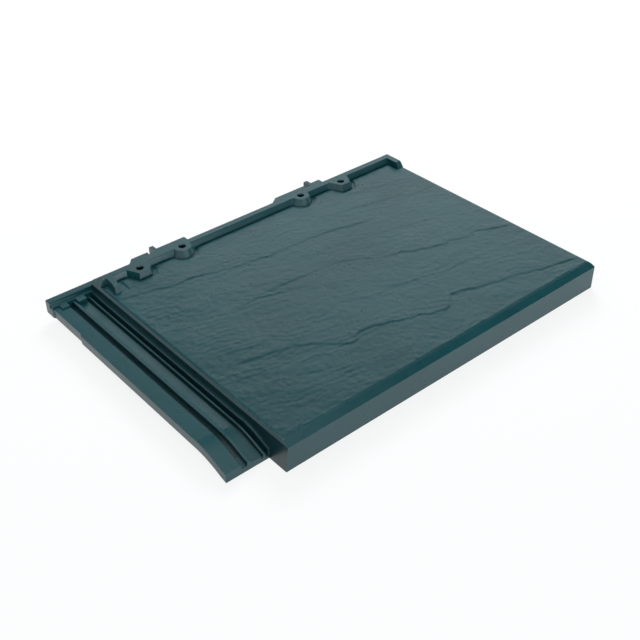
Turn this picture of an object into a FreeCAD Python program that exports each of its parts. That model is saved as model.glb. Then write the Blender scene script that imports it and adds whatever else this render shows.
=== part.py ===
import FreeCAD, Part
import os

V = FreeCAD.Vector

# Flat interlocking roof tile, pressed and fired in one piece. All sizes in mm.
# Working axes: X across the roof slope from the slab's left wall, Y from the tail
# edge up to the head, Z up from the plane the tile lies on.

# slab
WIDTH = 400.0          # cover width of the slab
TOP = 28.0             # slab face above the ground plane
HEAD = 310.0           # head face of the slab
SLAB_T = 12.0          # slab thickness over the hollow underside
SKIRT_T = 14.0         # tail skirt
SIDE_T = 12.0          # left wall
TAIL_BEVEL = (8.1, 2.8)        # run along Y, drop
WALL_BEVEL = (2.6, 25.6, 4.5)  # X and Z at the foot, X at the slab face
EASE = 1.2             # eased corners and arrises

# raised rim along the head
RIM_TOP = 33.9
RIM_OUT = 303.5        # outer top edge
RIM_IN = 296.0         # inner top edge
DRAFT = 2.2            # rim foot beyond its top edge
LEDGE = 29.1           # ledge behind the rim
MOAT = 2.6             # groove round the foot of the rim
MOAT_Z = 27.0
LOBES = [((43.0, 302.0), (50.0, HEAD), (114.5, HEAD), (114.5, 302.0)),
         ((225.0, 302.0), (236.0, HEAD), (299.0, HEAD), (299.0, 302.0))]
LUG_X = (76.0, 283.0)  # left face of each outward lug
LUG_W = 4.2
LUG_END = 318.0
LUG_FOOT = 22.0
LUG_NOTCH = 7.0

# right-hand return of the rim, and the short ear at its left end
RETURN_W = 7.0
RETURN_END = (281.0, 275.8)    # top edge, foot
EAR_TOP = [(13.5, 298.0), (13.0, 287.0), (11.2, 277.6), (16.6, 277.6), (18.6, 287.0), (20.5, 298.0)]
EAR_FOOT = [(12.6, 298.0), (12.1, 287.0), (10.2, 273.6), (18.2, 273.6), (20.4, 287.0), (22.5, 298.0)]

# nail holes and their bosses
HOLES = [(48.3, 290.6), (102.8, 296.2), (261.0, 296.2), (315.3, 290.6)]
HOLE_R = 3.6
SINK_R = 4.3
SINK_DEPTH = 1.2
ROUND_TOP_R = 9.4
ROUND_FOOT_R = 13.6
FLAT_TOP = [[(-12.5, 6.0), (-5.4, -8.2), (6.4, -8.2), (11.2, -1.6), (13.0, 6.0)],
            [(-11.8, 6.0), (-5.0, -7.8), (6.4, -8.2), (11.2, -0.8), (13.6, 6.0)]]
FLAT_FOOT = [[(-15.0, 6.0), (-7.0, -10.6), (8.2, -10.6), (14.0, -2.6), (15.6, 6.0)],
             [(-15.6, 6.0), (-6.6, -11.6), (7.8, -12.2), (14.2, -3.4), (16.8, 6.0)]]

# side lock along the left wall: one section carried from the head to the tail dip
LOCK_END = 22.6
LOCK_HEAD = 318.0
LOCK_LEFT = -44.2
LOCK_SECTION = [(LOCK_LEFT, 8.7), (LOCK_LEFT, 17.8), (LOCK_LEFT + 0.6, 18.4), (-29.0, 18.4), (-28.3, 17.7),
                (-28.1, 13.4), (-22.6, 13.4), (-22.2, 17.5), (-21.7, 18.0), (-19.3, 18.0),
                (-18.8, 17.5), (-18.4, 15.0), (-8.7, 15.0), (-8.2, 12.6), (-6.2, 12.6),
                (-5.8, 15.9), (-5.3, 16.4), (-4.3, 16.4), (-3.8, 15.9), (-3.4, 11.4),
                (-1.4, 11.4), (-0.8, 18.2), (-0.2, 19.0), (7.0, 19.0), (7.0, 4.6), (-20.0, 4.6), (-24.0, 8.7)]
LOCK_DIP = [(62.0, 0.0), (52.0, -0.8), (42.0, -2.9), (34.0, -5.4), (28.0, -7.4), (LOCK_END, -8.7)]
LOCK_RIM = 23.4        # cross rim at the head of the lock
LOCK_RIM_W = 8.0
LOCK_STEP = (20.0, 4.4)        # level and width of the step inside that rim
LOCK_BARS = [(-36.3, -28.3), (-18.6, -9.4)]    # cross bars that close the two pans
BAR_TOP = 19.8
BAR_FROM = 298.6
INSET = (1.4, 254.0, 303.0)    # outer edge set in: depth, from Y, to Y

# cover lap under the right margin, hollow underside, hanging nibs
LAP_X = 350.0
LAP_Z = 20.2
LAP_RIB = (372.9, 376.1, 15.2)
HEAD_BAR = (303.0, 10.0)       # from Y, underside Z
NIB_X = [(58.0, 108.0), (252.0, 302.0)]
NIB_Y = (270.0, 286.0)
NIB_TAPER = 2.5
MID_RIB = (196.0, 206.0, 7.0)


def face(points):
    return Part.Face(Part.makePolygon(points + [points[0]]))


def prism(outline, z0, z1):
    return face([V(x, y, z0) for x, y in outline]).extrude(V(0, 0, z1 - z0))


def along_x(section, x0, x1):
    return face([V(x0, y, z) for y, z in section]).extrude(V(x1 - x0, 0, 0))


def along_y(section, y0, y1):
    return face([V(x, y0, z) for x, z in section]).extrude(V(0, y1 - y0, 0))


def frustum(foot, z0, top, z1):
    low = Part.makePolygon([V(x, y, z0) for x, y in foot + [foot[0]]])
    high = Part.makePolygon([V(x, y, z1) for x, y in top + [top[0]]])
    return Part.makeLoft([low, high], True, True)


def box(x0, x1, y0, y1, z0, z1):
    return Part.makeBox(x1 - x0, y1 - y0, z1 - z0, V(x0, y0, z0))


def slab():
    x_foot, z_foot, x_top = WALL_BEVEL
    section = [(0, 0), (WIDTH, 0), (WIDTH, TOP - EASE), (WIDTH - EASE, TOP), (x_top, TOP), (x_foot, z_foot)]
    body = along_y(section, 0, HEAD)
    run, drop = TAIL_BEVEL
    body = body.cut(along_x([(-1, TOP - drop - drop / run), (run, TOP), (run, TOP + 2), (-1, TOP + 2)],
                            -2, WIDTH + 2))
    corner = [(WIDTH - EASE, -1), (WIDTH + 1, EASE + 1), (WIDTH + 1, -1)]
    return body.cut(prism(corner, -1, TOP + 1))


def moat():
    """Shallow groove left round the foot of the rim, its bosses and returns."""
    tool = box(6.0, WIDTH - RETURN_W - 0.5, RIM_IN - DRAFT - MOAT, RIM_IN, MOAT_Z, TOP + 1)
    tool = tool.fuse(box(WIDTH - RETURN_W - MOAT, WIDTH - RETURN_W, RETURN_END[1] + 1, RIM_IN, MOAT_Z, TOP + 1))
    for x, y in HOLES[1:3]:
        tool = tool.fuse(Part.makeCylinder(ROUND_FOOT_R + MOAT, 2, V(x, y, MOAT_Z)))
    for (x, y), foot in zip(HOLES[::3], FLAT_FOOT):
        wide = [(x + a * (1 + MOAT / 14), y + (b * (1 + MOAT / 11) if b < 0 else b)) for a, b in foot]
        tool = tool.fuse(prism(wide, MOAT_Z, TOP + 1))
    return tool


def rim():
    """Rim bar with its outward lobes and the ledge behind it."""
    foot = RIM_IN - DRAFT
    section = [(foot, MOAT_Z - 1), (RIM_IN, RIM_TOP - 0.5), (RIM_IN + 0.6, RIM_TOP),
               (RIM_OUT - 0.8, RIM_TOP), (RIM_OUT, RIM_TOP - 0.8), (RIM_OUT, MOAT_Z - 1)]
    body = along_x(section, 0, WIDTH)
    body = body.fuse(box(0, WIDTH, RIM_OUT - 1, HEAD, MOAT_Z - 1, LEDGE))
    for lobe in LOBES:
        body = body.fuse(prism(list(lobe), MOAT_Z - 1, RIM_TOP))
    return body


def bosses():
    """Two angular bosses outside, two round ones inside."""
    low = MOAT_Z - 1
    solids = [Part.makeCone(ROUND_FOOT_R, ROUND_TOP_R, RIM_TOP - low, V(x, y, low)) for x, y in HOLES[1:3]]
    for (x, y), foot, top in zip(HOLES[::3], FLAT_FOOT, FLAT_TOP):
        solids.append(frustum([(x + a, y + b) for a, b in foot], low, [(x + a, y + b) for a, b in top], RIM_TOP))
    return solids


def rim_return():
    """The rim turned down the right-hand edge, with a sloped end."""
    end_top, end_foot = RETURN_END
    section = [(end_foot, TOP), (end_top, RIM_TOP), (RIM_OUT, RIM_TOP), (RIM_OUT, MOAT_Z - 1), (end_foot, MOAT_Z - 1)]
    return along_x(section, WIDTH - RETURN_W, WIDTH)


def lug(x):
    """Short upright fin that stands out behind the rim."""
    section = [(RIM_OUT - 4, LUG_FOOT), (LUG_END, LUG_FOOT + 3), (LUG_END, RIM_TOP - 1.2),
               (LUG_END - 1.2, RIM_TOP), (RIM_OUT - 4, RIM_TOP)]
    return along_x(section, x, x + LUG_W)


def nail_hole(x, y):
    shaft = Part.makeCylinder(HOLE_R, RIM_TOP + 2, V(x, y, -1))
    sink = Part.makeCone(HOLE_R, SINK_R + 0.3, SINK_DEPTH + 1, V(x, y, RIM_TOP - SINK_DEPTH))
    return shaft.fuse(sink)


def lock_sweep():
    """Side-lock section, straight from the head and dipping at the tail."""
    straight = along_y(LOCK_SECTION, LOCK_DIP[0][0], HEAD)
    curve = Part.BSplineCurve()
    curve.interpolate([V(0, y, z) for y, z in LOCK_DIP], InitialTangent=V(0, -1, 0), FinalTangent=V(0, -1, -0.3))
    start = Part.makePolygon([V(x, LOCK_DIP[0][0], z) for x, z in LOCK_SECTION + [LOCK_SECTION[0]]])
    pipe = Part.BRepOffsetAPI.MakePipeShell(Part.Wire([curve.toShape()]))
    pipe.setTrihedronMode(V(0, 0, 0), V(0, 1, 0))
    pipe.add(start)
    pipe.build()
    pipe.makeSolid()
    return straight.fuse(pipe.shape())


def lock():
    body = lock_sweep()
    head_rim = box(LOCK_LEFT, 10.0, LOCK_HEAD - LOCK_RIM_W, LOCK_HEAD, LOCK_SECTION[0][1], LOCK_RIM)
    body = body.fuse(head_rim.makeChamfer(0.7, [e for e in head_rim.Edges if e.BoundBox.ZMin > LOCK_RIM - 0.1]))
    level, width = LOCK_STEP
    step_y = LOCK_HEAD - LOCK_RIM_W - width
    body = body.fuse(box(LOCK_LEFT + 0.8, 3.0, step_y, LOCK_HEAD - LOCK_RIM_W, 12.0, level))
    for x0, x1 in LOCK_BARS:
        body = body.fuse(box(x0, x1, BAR_FROM, step_y, 12.0, BAR_TOP))
    depth, y0, y1 = INSET
    groove = [(LOCK_LEFT - 1, y0 - 4), (LOCK_LEFT, y0 - 4), (LOCK_LEFT + depth, y0), (LOCK_LEFT + depth, y1),
              (LOCK_LEFT, y1 + 2), (LOCK_LEFT - 1, y1 + 2)]
    body = body.cut(prism(groove, 0, TOP))
    return body.cut(box(-60, 20, 0, 330, -20, 0))


def underside():
    """Everything pressed out of the back: the bay, the cover lap and the head bar."""
    bay = box(SIDE_T, LAP_X, SKIRT_T, HEAD_BAR[0], -1, TOP - SLAB_T)
    lap = box(LAP_X - 1, WIDTH + 1, SKIRT_T + 3, HEAD + 1, -1, LAP_Z)
    bar = box(SIDE_T, WIDTH + 1, HEAD_BAR[0] - 1, HEAD + 1, -1, HEAD_BAR[1])
    return bay.fuse(lap).fuse(bar)


def nib(x0, x1):
    t = NIB_TAPER
    top = TOP - SLAB_T + 1
    return along_y([(x0 + t, 0), (x1 - t, 0), (x1, top), (x0, top)], *NIB_Y)


def tile():
    body = slab().cut(underside())
    body = body.cut(moat())
    x_foot, z_foot, x_top = WALL_BEVEL
    rise = (RIM_TOP + 1 - z_foot) / (TOP - z_foot)
    trim = along_y([(x_foot, z_foot), (x_foot + (x_top - x_foot) * rise, RIM_TOP + 1), (-5, RIM_TOP + 1), (-5, z_foot)],
                   -1, HEAD + 9)
    raised = rim()
    for solid in bosses():
        raised = raised.fuse(solid)
    raised = raised.fuse(rim_return())
    raised = raised.fuse(frustum(EAR_FOOT, MOAT_Z - 0.5, EAR_TOP, RIM_TOP))
    body = body.fuse(raised.cut(trim))
    for x in LUG_X:
        body = body.cut(box(x - LUG_NOTCH, x, RIM_OUT + 1.5, HEAD + 1, MOAT_Z - 2, RIM_TOP + 1))
        body = body.fuse(lug(x))
    body = body.fuse(lock())
    for x0, x1 in NIB_X:
        body = body.fuse(nib(x0, x1))
    x0, x1, z = MID_RIB
    body = body.fuse(box(x0, x1, SKIRT_T - 1, HEAD_BAR[0] + 1, z, TOP - SLAB_T + 1))
    x0, x1, z = LAP_RIB
    body = body.fuse(box(x0, x1, SKIRT_T + 2, HEAD, z, LAP_Z + 1))
    for x, y in HOLES:
        body = body.cut(nail_hole(x, y))
    return body.removeSplitter()


shape = tile().Solids[0]
shape.translate(V(-(WIDTH + LOCK_LEFT) / 2, -LUG_END / 2, 0))
os.makedirs("parts", exist_ok=True)
shape.exportStep("parts/tile_body.step")
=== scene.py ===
import math

import bmesh
import bpy
import numpy as np
from mathutils import Matrix, Vector


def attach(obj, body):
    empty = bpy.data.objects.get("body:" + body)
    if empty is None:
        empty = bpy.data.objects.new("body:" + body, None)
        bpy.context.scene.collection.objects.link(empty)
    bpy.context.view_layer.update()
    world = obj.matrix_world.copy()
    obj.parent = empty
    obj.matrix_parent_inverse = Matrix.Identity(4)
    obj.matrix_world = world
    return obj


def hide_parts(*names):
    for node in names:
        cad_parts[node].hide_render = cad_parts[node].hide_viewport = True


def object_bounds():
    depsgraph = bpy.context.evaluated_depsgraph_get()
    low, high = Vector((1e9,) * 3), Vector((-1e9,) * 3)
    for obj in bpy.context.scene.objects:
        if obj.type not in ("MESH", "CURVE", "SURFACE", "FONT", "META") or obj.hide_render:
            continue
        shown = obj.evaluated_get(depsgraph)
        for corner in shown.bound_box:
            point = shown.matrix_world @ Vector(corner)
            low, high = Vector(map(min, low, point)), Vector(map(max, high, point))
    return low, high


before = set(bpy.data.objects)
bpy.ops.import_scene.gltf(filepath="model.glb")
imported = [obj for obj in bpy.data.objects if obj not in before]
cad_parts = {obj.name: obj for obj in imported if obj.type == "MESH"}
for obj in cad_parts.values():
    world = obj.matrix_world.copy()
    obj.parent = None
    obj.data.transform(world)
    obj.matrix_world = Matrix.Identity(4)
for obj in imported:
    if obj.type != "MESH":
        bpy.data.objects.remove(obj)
cad_lo, cad_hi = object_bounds()

# Positions on the tile are in mm from the slab's left wall, the tail edge and the ground.
MM = 0.001
SLAB_LEFT = cad_lo.x + 44.2 * MM
TAIL = cad_lo.y
TOP = 28.0             # the pressed plane of the face
RIM_Y = 300            # inside the head rim
RIGHT_X = 402          # past the right edge

# The riven face: a sheet over the pressed plane.
FACE_X = (4.3, 399.0)
FACE_Y = (8.3, 291.4)
STEP = 1.3             # spacing of its points
LIFT = 0.34            # mean height of the relief over the plane
LEAST = 0.06           # least height, so that the sheet never meets the plane
TUCK = 0.07            # how far its border goes under the plane
MARGIN = 1.5           # width over which the relief dies out at an edge
OVERLAP = 0.4          # how far it runs in under a rim or boss foot

# What stands on the face: round bosses as centre and radius, angled ones as outlines, and the rim's
# ear and return as left, right and tail side.
ROUND_BOSSES = [(102.8, 296.2, 16.2), (261.0, 296.2, 16.2)]
ANGLED_BOSSES = [[(30.5, 300), (40.0, 277.4), (58.0, 277.4), (64.8, 287), (67.0, 300)],
                 [(297, 300), (307.4, 276.4), (324.6, 275.6), (332, 286), (335, 300)]]
RIM_BLOCKS = [(8.5, 23.5, 273.0), (390.2, RIGHT_X, 276.4)]

# Cleft edges: listed height, face width, then the line from left to right.
LEDGES = [
    (0.75, 1.5, [(0, 262), (30, 256), (60, 250), (92, 244), (107, 238), (153, 230), (182, 226), (207, 227),
                 (237, 223), (270, 215), (304, 209)]),
    (0.65, 1.5, [(246, 252), (287, 244), (313, 236), (347, 229), (367, 221), (402, 219)]),
    (0.45, 1.3, [(82, 174), (107, 177), (133, 170), (153, 164), (168, 160)]),
    (0.70, 1.4, [(118, 180), (153, 178), (177, 176), (203, 173), (230, 164), (245, 151), (270, 144),
                 (278, 137), (303, 129), (337, 123), (363, 118), (402, 103)]),
    (0.45, 1.3, [(34, 128), (60, 120), (84, 113)]),
    (0.95, 1.7, [(30, 110), (60, 102), (80, 97), (100, 90), (112, 79), (117, 72), (130, 65), (138, 66),
                 (143, 72), (160, 72), (180, 64), (203, 54), (227, 46), (238, 46), (253, 58), (273, 54),
                 (290, 46), (320, 41), (340, 34), (360, 27), (380, 21), (402, 15)]),
    (0.35, 1.2, [(150, 262), (190, 255), (235, 243)]),
    (0.35, 1.2, [(300, 268), (340, 262), (385, 250)]),
    (0.35, 1.2, [(180, 205), (225, 198), (290, 182), (350, 170), (398, 152)]),
    (0.30, 1.2, [(8, 214), (50, 204), (96, 198)]),
    (0.30, 1.2, [(170, 112), (225, 104), (275, 92), (335, 84)]),
]
WORN = 0.62            # share of a cleft's listed height that stands
CLEFT_ENDS = 16        # length over which a cleft dies out at each end
CLEFT_BACK = 48        # length over which the face falls back behind it
UNDERCUT = 0.16        # dip before its foot, as a share of its height
UNDERCUT_REACH = 5
SWELLS = [(0.16, 26, 17, 3), (0.10, 55, 30, 5)]               # height, length in x and y, seed
TERRACES = [(8.5, 34, 0.22, 7), (4.9, 15, 0.13, 21)]          # pitch, length, height, seed
TREAD_FRONT = 0.22     # share of a terrace that is its rising front
GRAIN_SLANT = (0.966, 0.259)                                  # cosine and sine of 15 degrees
GRAIN = 0.08           # height of the fine grain

# Painted light on the glaze: below 0 it is painted shade and darker, above 0 a painted highlight and paler.
BORE_PAINTED_SHADE = -1.0
CHANNEL_PAINTED_SHADE = -0.9
WALL_PAINTED_SHADE = -0.8
MOAT_PAINTED_SHADE = -0.5
CLEFT_PAINTED_SHADE = -0.4
# Painted highlight on the softened arrises.
ARRIS_PAINTED_HIGHLIGHT = 1.0
HOLES = [(48.3, 290.6), (102.8, 296.2), (261.0, 296.2), (315.3, 290.6)]
BORE_REACH = 5         # distance from a hole's axis that is still its bore
CHANNELS = [(-28.2, -22.5), (-8.3, -6.1), (-3.5, 0.5)]        # the lock's channel floors, in x, dark with painted shade
# Where the lock and the moat get their painted shade.
LOCK_X = (-29, 5)
LOCK_Y = (20, 309)
LOCK_Z = 8
MOAT_Z = 27
MOAT_Y = 262
LIP_Z = (26.5, 28.1)

ARRIS = 0.4            # width of a softened edge
ARRIS_FROM = 35        # degrees at which a convex edge is softened
SHARP_FROM = 17        # degrees at which shading breaks
WELD = 2e-6            # metres
COPLANAR = 0.6         # degrees

# Glaze colours, linear; the recess colour is painted shade and the arris colour a painted highlight.
GLAZE_THICK = (0.003, 0.052, 0.062, 1)
GLAZE_THIN = (0.006, 0.066, 0.078, 1)
GLAZE_SPECK = (0.012, 0.078, 0.091, 1)
# Painted shade for bores, channels, lock walls, moat and cleft fronts.
PAINTED_SHADE_COLOUR = (0.001, 0.014, 0.019, 1)
# Painted highlight for the arrises.
PAINTED_HIGHLIGHT_COLOUR = (0.060, 0.150, 0.170, 1)
BUMP = 0.06            # height of the orange-peel bump

# Studio, in metres and degrees. Each stands at an azimuth from +X, an elevation and a distance.
FLOOR_COLOUR = (0.78, 0.82, 0.84, 1)
FLOOR_HALF = 4.0
FLOOR_DROP = 0.0002    # the floor's gap under the tile
FLOOR_WHITE = 1.06
FLOOR_SHARE = 0.80     # the rest keeps the tile's shadow
FILL_COLOUR = (0.80, 0.88, 0.92, 1)
FILL = 0.22
PLAIN = (1.0, 1.0, 1.0)
COOL = (0.80, 0.95, 1.0)
LAMPS = [              # name, azimuth, elevation, distance, width, height, radiance, tint, seen in the glaze
    ("overhead", 165, 70, 2.0, 2.4, 2.4, 0.8, PLAIN, True),
    ("front", -90, 7, 2.5, 2.3, 0.8, 5.0, COOL, True),
    ("rear", 48, 36, 2.2, 1.2, 1.0, 11.0, PLAIN, False),
]
FLAGS = [              # name, azimuth, elevation, distance, width, height
    ("flag_high", 48, 56, 2.6, 4.2, 0.85),
    ("flag_right", -25, 48, 3.0, 3.3, 1.9),
    ("flag_left", 111, 42, 3.0, 3.75, 1.5),
    ("flag_low", -50, 7, 3.0, 1.9, 1.0),
]

CAMERA_AT = (-353, -466, 590)
CAMERA_AZIMUTH = 40.0  # degrees from +Y towards +X
CAMERA_DOWN = 36.7
CAMERA_ROLL = -0.8
LENS = 56.6
SENSOR = 36.0


def at(x, y, z):
    """Millimetres from the slab's left wall, the tail edge and the ground, in scene metres."""
    return (SLAB_LEFT + x * MM, TAIL + y * MM, z * MM)


def smooth(t):
    """0 to 1 with level ends."""
    t = np.clip(t, 0.0, 1.0)
    return t * t * (3 - 2 * t)


def value_noise(u, v, seed):
    """Smooth noise from -1 to 1 with one random value per unit cell, repeating after 64 cells."""
    cells = 64
    table = np.random.RandomState(seed).uniform(-1, 1, (cells, cells))
    i, j = np.floor(u).astype(int), np.floor(v).astype(int)
    a, b = smooth(u - i), smooth(v - j)
    i, j = i % cells, j % cells
    k, m = (i + 1) % cells, (j + 1) % cells
    low = table[i, j] * (1 - a) + table[k, j] * a
    high = table[i, m] * (1 - a) + table[k, m] * a
    return low * (1 - b) + high * b


def polygon_gap(x, y, outline):
    """Distance outside a polygon, negative inside."""
    gap = np.full(x.shape, np.inf)
    inside = np.zeros(x.shape, bool)
    for (x0, y0), (x1, y1) in zip(outline, outline[1:] + outline[:1]):
        dx, dy = x1 - x0, y1 - y0
        t = np.clip(((x - x0) * dx + (y - y0) * dy) / (dx * dx + dy * dy), 0, 1)
        gap = np.minimum(gap, np.hypot(x - x0 - t * dx, y - y0 - t * dy))
        if dy:
            crosses = (y0 > y) != (y1 > y)
            inside ^= crosses & (x < dx * (y - y0) / dy + x0)
    return np.where(inside, -gap, gap)


def edge_gap(x, y):
    """Distance from a point on the face to the nearest edge, rim foot or boss foot."""
    gap = np.minimum(np.minimum(x - FACE_X[0], FACE_X[1] - x), np.minimum(y - FACE_Y[0], FACE_Y[1] - y))
    for cx, cy, r in ROUND_BOSSES:
        gap = np.minimum(gap, np.hypot(x - cx, y - cy) - r)
    blocks = [[(x0, y0), (x1, y0), (x1, RIM_Y), (x0, RIM_Y)] for x0, x1, y0 in RIM_BLOCKS]
    for outline in ANGLED_BOSSES + blocks:
        gap = np.minimum(gap, polygon_gap(x, y, outline))
    return gap


def add_ledges(x, y, height, cleft_shade):
    """The main cleft edges: a wandering step up, broken in strength, with a slight dip at its foot."""
    for n, (listed, width, line) in enumerate(LEDGES):
        rise = listed * WORN
        xs, ys = np.array(line, float).T
        row = y * 0 + n
        wander = 1.5 * value_noise(x / 9, row, 11 + n) + 0.6 * value_noise(x / 3.1, row, 31 + n)
        d = y - np.interp(x, xs, ys) - wander
        ends = smooth((x - xs[0]) / CLEFT_ENDS) * smooth((xs[-1] - x) / CLEFT_ENDS)
        ends *= 0.75 + 0.35 * value_noise(x / 27, row, 51 + n)
        height += rise * ends * smooth(d / width) * np.clip(1 - d / CLEFT_BACK, 0, 1)
        height -= UNDERCUT * rise * ends * np.exp(-np.abs(np.minimum(d, 0)) / UNDERCUT_REACH) * (d < width)
        # The cleft's front, where painted shade goes.
        front = np.exp(-((d - 0.35 * width) / width) ** 2)
        np.maximum(cleft_shade, ends * rise * front, out=cleft_shade)


def add_terraces(along, across, height, cleft_shade):
    """The many small broken steps of the split surface."""
    for pitch, reach, rise, seed in TERRACES:
        t = across / pitch + 1.6 * value_noise(along / reach, across / (2.2 * pitch), seed)
        t += 0.25 * value_noise(along / 6, across / 5, seed + 1)
        s = t - np.floor(t)
        broken = smooth(0.75 + 0.9 * value_noise(along / reach, across / pitch, seed + 2))
        height += rise * broken * (smooth(s / TREAD_FRONT) - s)
        # The terrace's front, where painted shade goes.
        front = np.exp(-((s - 0.09) / 0.10) ** 2)
        np.maximum(cleft_shade, 0.8 * rise * broken * front, out=cleft_shade)


def riven(x, y):
    """Height of the relief over the pressed plane, and how much of a cleft's front each point is, which sets
    the painted shade there.
    """
    height = np.full(x.shape, LIFT)
    cleft_shade = np.zeros(x.shape)
    for rise, in_x, in_y, seed in SWELLS:
        height += rise * value_noise(x / in_x, y / in_y, seed)
    add_ledges(x, y, height, cleft_shade)
    cosine, sine = GRAIN_SLANT
    along, across = cosine * x - sine * y, sine * x + cosine * y
    add_terraces(along, across, height, cleft_shade)
    height += GRAIN * value_noise(along / 4.6, across / 3.2, 9) + GRAIN * value_noise(x / 2.7, y / 2.7, 10)
    return height, cleft_shade


def riven_face(glaze):
    """The weather face with its cleft relief and painted shade on the cleft fronts, a sheet laid over the
    slab's pressed plane.
    """
    xs = np.arange(FACE_X[0], FACE_X[1] + 0.01, STEP)
    ys = np.arange(FACE_Y[0], FACE_Y[1] + 0.01, STEP)
    x, y = np.meshgrid(xs, ys)
    gap = edge_gap(x, y)
    height, cleft_shade = riven(x, y)
    blend = smooth(gap / MARGIN)
    z = TOP + np.maximum(height, LEAST) * blend - TUCK * (1 - blend)
    inside = gap > -OVERLAP
    index = -np.ones(x.shape, int)
    index[inside] = np.arange(inside.sum())
    points = [at(*p) for p in zip(x[inside], y[inside], z[inside])]
    faces = []
    for j in range(len(ys) - 1):
        for i in range(len(xs) - 1):
            quad = (index[j, i], index[j, i + 1], index[j + 1, i + 1], index[j + 1, i])
            if min(quad) >= 0:
                faces.append([int(k) for k in quad])
    mesh = bpy.data.meshes.new("riven_face")
    mesh.from_pydata(points, [], faces)
    mesh.shade_smooth()
    # Painted shade on the cleft fronts, kept in the mesh.
    painted_shade_and_highlight = mesh.attributes.new("painted_shade_and_highlight", "FLOAT", "POINT")
    painted_shade_and_highlight.data.foreach_set("value", (CLEFT_PAINTED_SHADE * cleft_shade * blend)[inside].astype(np.float32))
    add_piece("riven_face", mesh, glaze)


def recess_painted_shade(face):
    """Painted shade for a face of the body: below 0 in a bore, a channel, on a lock wall or in the moat."""
    p, n = face.calc_center_median(), face.normal
    x, y, z = (p.x - SLAB_LEFT) / MM, (p.y - TAIL) / MM, p.z / MM
    if min(math.hypot(x - hx, y - hy) for hx, hy in HOLES) < BORE_REACH:
        return BORE_PAINTED_SHADE if abs(n.z) < 0.3 else 0.0
    if LOCK_X[0] < x < LOCK_X[1] and LOCK_Y[0] < y < LOCK_Y[1] and z > LOCK_Z:
        if n.z > 0.5:
            return CHANNEL_PAINTED_SHADE if any(a < x < b for a, b in CHANNELS) else 0.0
        return WALL_PAINTED_SHADE if abs(n.x) > 0.6 else 0.0
    return MOAT_PAINTED_SHADE if n.z > 0.9 and abs(z - MOAT_Z) < 0.2 else 0.0


def tile_shell(glaze):
    """The pressed body with its outer arrises softened as the glaze leaves them, painted shade in its
    recesses and a painted highlight on the softened arrises.
    """
    bm = bmesh.new()
    bm.from_mesh(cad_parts["tile_body"].data)
    bmesh.ops.remove_doubles(bm, verts=bm.verts, dist=WELD)
    bmesh.ops.dissolve_limit(bm, angle_limit=math.radians(COPLANAR), verts=bm.verts, edges=bm.edges)
    # Painted shade for recesses and painted highlight for arrises, face by face.
    painted_shade_and_highlight = bm.faces.layers.float.new("painted_shade_and_highlight")
    for face in bm.faces:
        face[painted_shade_and_highlight] = recess_painted_shade(face)
    soften = math.radians(ARRIS_FROM)
    arrises = [e for e in bm.edges if e.is_convex and e.calc_face_angle(0) > soften]
    made = bmesh.ops.bevel(bm, geom=arrises, offset=ARRIS * MM, segments=1, affect="EDGES",
                           clamp_overlap=True)
    # The bevel faces get a painted highlight, except along the moat's lip.
    for face in made["faces"]:
        p = face.calc_center_median()
        moat_lip = p.y - TAIL > MOAT_Y * MM and LIP_Z[0] * MM < p.z < LIP_Z[1] * MM
        face[painted_shade_and_highlight] = 0.0 if moat_lip else ARRIS_PAINTED_HIGHLIGHT
    mesh = bpy.data.meshes.new("tile_shell")
    bm.to_mesh(mesh)
    bm.free()
    mesh.shade_smooth()
    mesh.set_sharp_from_angle(angle=math.radians(SHARP_FROM))
    piece = add_piece("tile_shell", mesh, glaze)
    flat = piece.modifiers.new("flat_faces", "WEIGHTED_NORMAL")
    flat.weight = 95
    flat.keep_sharp = True
    return piece


def add_piece(name, mesh, glaze):
    """A visible piece of the tile, riding its one body."""
    piece = bpy.data.objects.new(name, mesh)
    bpy.context.scene.collection.objects.link(piece)
    piece.data.materials.append(glaze)
    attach(piece, "root")
    return piece


class Nodes:
    """Short calls for building the node tree of one material or world."""

    def __init__(self, owner):
        self.owner = owner
        owner.use_nodes = True
        self.tree = owner.node_tree
        self.tree.nodes.clear()

    def add(self, kind, **values):
        node = self.tree.nodes.new(kind)
        for key, value in values.items():
            setattr(node, key, value)
        return node

    def link(self, a, b):
        self.tree.links.new(a, b)

    def feed(self, socket, value):
        """Sets a socket to a constant, or links an output to it."""
        if isinstance(value, (int, float, tuple)):
            socket.default_value = value
        else:
            self.link(value, socket)

    def noise(self, coords, scale, detail, rough=0.5):
        node = self.add("ShaderNodeTexNoise")
        node.inputs["Scale"].default_value = scale
        node.inputs["Detail"].default_value = detail
        node.inputs["Roughness"].default_value = rough
        self.link(coords, node.inputs["Vector"])
        return node.outputs["Fac"]

    def span(self, value, low, high, to_low, to_high):
        """Maps one range on to another, clamped."""
        node = self.add("ShaderNodeMapRange", clamp=True)
        self.link(value, node.inputs["Value"])
        for key, number in zip(("From Min", "From Max", "To Min", "To Max"), (low, high, to_low, to_high)):
            node.inputs[key].default_value = number
        return node.outputs["Result"]

    def mix(self, factor, a, b):
        """Mixes two colours."""
        node = self.add("ShaderNodeMix", data_type="RGBA", blend_type="MIX")
        for place, value in ((0, factor), (6, a), (7, b)):
            self.feed(node.inputs[place], value)
        return node.outputs[2]

    def combine(self, operation, a, b, clamp=False):
        """Does arithmetic on two values."""
        node = self.add("ShaderNodeMath", operation=operation, use_clamp=clamp)
        self.feed(node.inputs[0], a)
        self.feed(node.inputs[1], b)
        return node.outputs[0]


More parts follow.
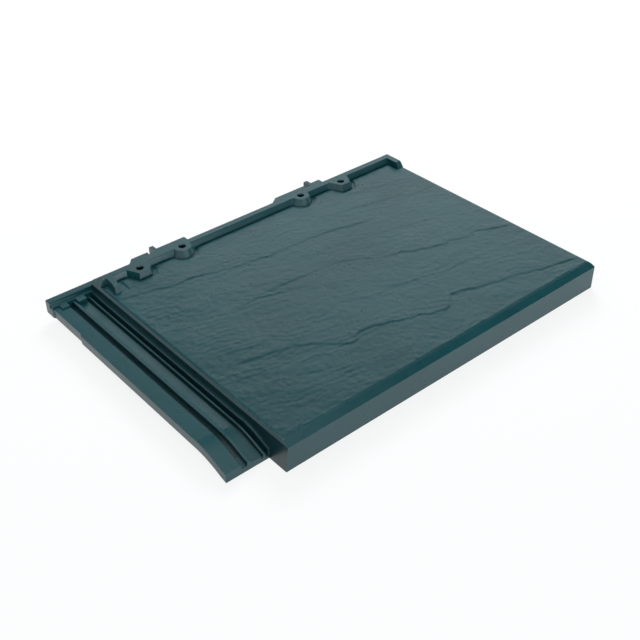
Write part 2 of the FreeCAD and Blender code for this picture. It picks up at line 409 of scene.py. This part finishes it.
def glazed_clay():
    """Satin slate-blue glaze, mottled, with painted shade in the clefts and recesses and a painted highlight
    on the arrises.
    """
    n = Nodes(bpy.data.materials.new("glazed_clay"))
    coords = n.add("ShaderNodeTexCoord").outputs["Object"]
    # Painted shade below 0 and painted highlight above 0, per face or point.
    painted_shade_and_highlight = n.add("ShaderNodeAttribute", attribute_name="painted_shade_and_highlight").outputs["Fac"]

    cloud = n.span(n.noise(coords, 9, 4, 0.6), 0.36, 0.64, 0, 1)
    speck = n.span(n.noise(coords, 210, 1), 0.3, 0.7, 0, 0.25)
    colour = n.mix(cloud, GLAZE_THICK, GLAZE_THIN)
    colour = n.mix(speck, colour, GLAZE_SPECK)
    # Painted shade in the recesses and clefts.
    colour = n.mix(n.span(painted_shade_and_highlight, 0, -1, 0, 0.8), colour, PAINTED_SHADE_COLOUR)
    # Painted highlight on the arrises, mixed in through a patchy noise.
    with_highlight = n.mix(n.span(painted_shade_and_highlight, 0.2, 1, 0, 1), colour, PAINTED_HIGHLIGHT_COLOUR)
    patchy = n.span(n.noise(coords, 30, 3), 0.3, 0.6, 0.25, 0.7)
    colour = n.mix(patchy, colour, with_highlight)

    bump = n.add("ShaderNodeBump")
    bump.inputs["Strength"].default_value = 0.15
    bump.inputs["Distance"].default_value = BUMP * MM
    n.link(n.noise(coords, 380, 1), bump.inputs["Height"])

    shader = n.add("ShaderNodeBsdfPrincipled")
    shader.inputs["IOR"].default_value = 1.5
    n.link(colour, shader.inputs["Base Color"])
    n.link(n.span(n.noise(coords, 45, 3), 0.3, 0.7, 0.26, 0.34), shader.inputs["Roughness"])
    n.link(bump.outputs["Normal"], shader.inputs["Normal"])
    n.link(shader.outputs[0], n.add("ShaderNodeOutputMaterial").inputs[0])
    return n.owner


def white_to_camera(n, surface, strength, share):
    """Mixes in plain white where the camera or a reflection looks straight at this shader."""
    path = n.add("ShaderNodeLightPath").outputs
    looks = n.combine("ADD", path["Is Camera Ray"], path["Is Transmission Ray"])
    looks = n.combine("ADD", looks, path["Is Glossy Ray"], clamp=True)
    glow = n.add("ShaderNodeEmission")
    glow.inputs["Strength"].default_value = strength
    mixed = n.add("ShaderNodeMixShader")
    n.link(n.combine("MULTIPLY", looks, share), mixed.inputs[0])
    n.link(surface, mixed.inputs[1])
    n.link(glow.outputs[0], mixed.inputs[2])
    return mixed.outputs[0]


def sheet(name, half_width, half_height, height, material):
    """A level rectangle about the origin."""
    w, h = half_width, half_height
    mesh = bpy.data.meshes.new(name)
    corners = [(-w, -h, height), (w, -h, height), (w, h, height), (-w, h, height)]
    mesh.from_pydata(corners, [], [(0, 1, 2, 3)])
    mesh.materials.append(material)
    return bpy.data.objects.new(name, mesh)


def diffuse(n, colour):
    paint = n.add("ShaderNodeBsdfDiffuse")
    paint.inputs["Color"].default_value = colour
    return paint.outputs[0]


def studio():
    """A pale floor, a plain world with a weak fill, three soft lamps and four black cards."""
    n = Nodes(bpy.data.materials.new("floor"))
    white = white_to_camera(n, diffuse(n, FLOOR_COLOUR), FLOOR_WHITE, FLOOR_SHARE)
    n.link(white, n.add("ShaderNodeOutputMaterial").inputs[0])
    floor = sheet("floor", FLOOR_HALF, FLOOR_HALF, -FLOOR_DROP, n.owner)
    bpy.context.scene.collection.objects.link(floor)

    world = Nodes(bpy.data.worlds.new("studio"))
    bpy.context.scene.world = world.owner
    sky = world.add("ShaderNodeBackground")
    sky.inputs["Color"].default_value = FILL_COLOUR
    sky.inputs["Strength"].default_value = FILL
    white = white_to_camera(world, sky.outputs[0], 1.0, 1.0)
    world.link(white, world.add("ShaderNodeOutputWorld").inputs[0])

    for row in LAMPS:
        lamp(*row)
    for row in FLAGS:
        flag(*row)


def aimed(item, azimuth, elevation, distance):
    """Stands a lamp or card off the tile, facing it and unseen by the camera."""
    a, e = math.radians(azimuth), math.radians(elevation)
    item.location = distance * Vector((math.cos(e) * math.cos(a), math.cos(e) * math.sin(a), math.sin(e)))
    item.rotation_euler = (-item.location).to_track_quat("-Z", "Y").to_euler()
    item.visible_camera = False
    bpy.context.scene.collection.objects.link(item)


def lamp(name, azimuth, elevation, distance, width, height, radiance, tint, in_glaze):
    """A soft area lamp whose power gives it the same radiance at any size."""
    data = bpy.data.lights.new(name, "AREA")
    data.shape = "RECTANGLE"
    data.size, data.size_y = width, height
    data.color = tint
    data.energy = radiance * math.pi * width * height
    item = bpy.data.objects.new(name, data)
    aimed(item, azimuth, elevation, distance)
    item.visible_glossy = in_glaze


def flag(name, azimuth, elevation, distance, width, height):
    """A black card that only reflections see."""
    n = Nodes(bpy.data.materials.new(name))
    n.link(diffuse(n, (0, 0, 0, 1)), n.add("ShaderNodeOutputMaterial").inputs[0])
    card = sheet(name, width / 2, height / 2, 0, n.owner)
    aimed(card, azimuth, elevation, distance)
    card.visible_diffuse = card.visible_shadow = card.visible_transmission = False


def camera():
    """The viewing angle: from the tail, left of centre, looking down."""
    azimuth, down, roll = (math.radians(v) for v in (CAMERA_AZIMUTH, CAMERA_DOWN, CAMERA_ROLL))
    ahead = Vector((math.sin(azimuth) * math.cos(down), math.cos(azimuth) * math.cos(down), -math.sin(down)))
    level = ahead.cross(Vector((0, 0, 1))).normalized()
    upright = level.cross(ahead)
    right = level * math.cos(roll) + upright * math.sin(roll)
    up = right.cross(ahead)
    turn = Matrix((right, up, -ahead)).transposed().to_4x4()
    data = bpy.data.cameras.new("camera")
    data.sensor_width = SENSOR
    data.lens = LENS
    item = bpy.data.objects.new("camera", data)
    item.matrix_world = Matrix.Translation(at(*CAMERA_AT)) @ turn
    bpy.context.scene.collection.objects.link(item)
    bpy.context.scene.camera = item


camera()
glaze = glazed_clay()
shell = tile_shell(glaze)
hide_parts("tile_body")
riven_face(glaze)
studio()
bpy.context.scene.view_settings.view_transform = "Standard"
